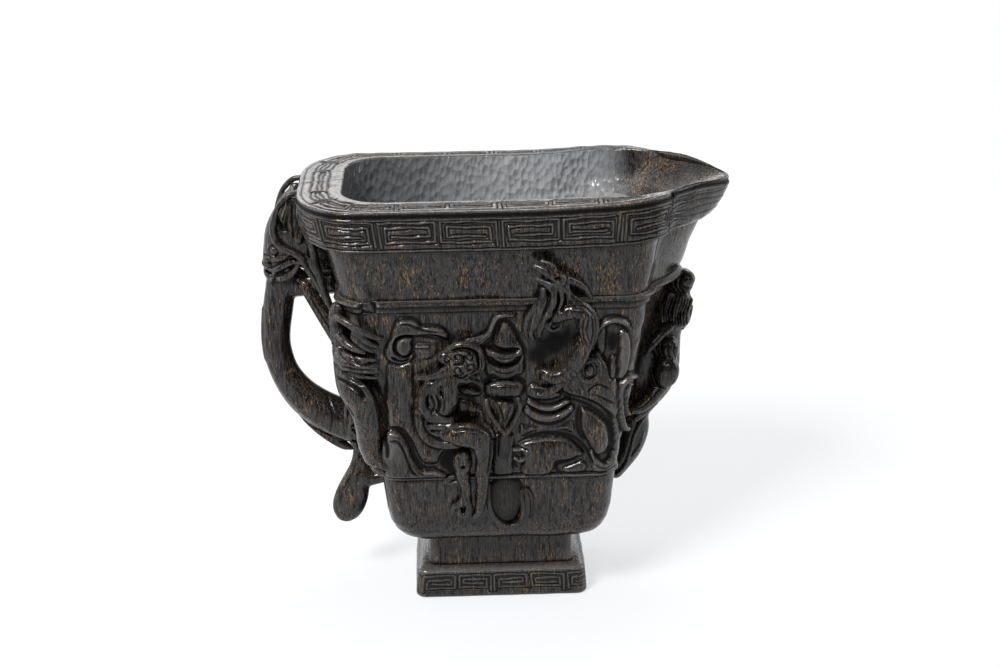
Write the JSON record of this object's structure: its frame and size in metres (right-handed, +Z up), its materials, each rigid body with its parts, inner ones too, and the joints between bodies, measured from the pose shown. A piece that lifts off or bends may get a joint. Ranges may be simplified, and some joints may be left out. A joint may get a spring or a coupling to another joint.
{
  "type": "horn libation cup",
  "caption": "Footed, tapering horn libation cup with a fret-carved rim, a pouring lip, climbing dragons and a looped beast-head handle.",
  "frame": {"origin": "centre of the foot's underside", "axes": "+X towards the pouring lip, away from the handle; +Y towards the far long side; +Z up, out of the mouth"},
  "size_m": [0.1396, 0.0708, 0.1305],
  "materials": {
    "horn": "polished dark brown horn"
  },
  "bodies": {
    "root": {"foot_plinth": "horn", "foot_neck": "horn", "lower_bowl": "horn", "relief_wall": "horn", "waist_ridge": "horn", "neck_wall": "horn", "rim_band": "horn", "near_corner_dragon": "horn", "far_corner_dragon": "horn", "near_middle_dragon": "horn", "far_middle_dragon": "horn", "near_lip_dragon": "horn", "far_lip_dragon": "horn", "near_mask_crest": "horn", "far_mask_crest": "horn", "near_mask_nose": "horn", "far_mask_nose": "horn", "handle_loop": "horn", "handle_beast_head": "horn", "near_beast_ear": "horn", "far_beast_ear": "horn", "handle_strut": "horn", "handle_leaf": "horn", "end_dragon": "horn"}
  },
  "joints": []
}
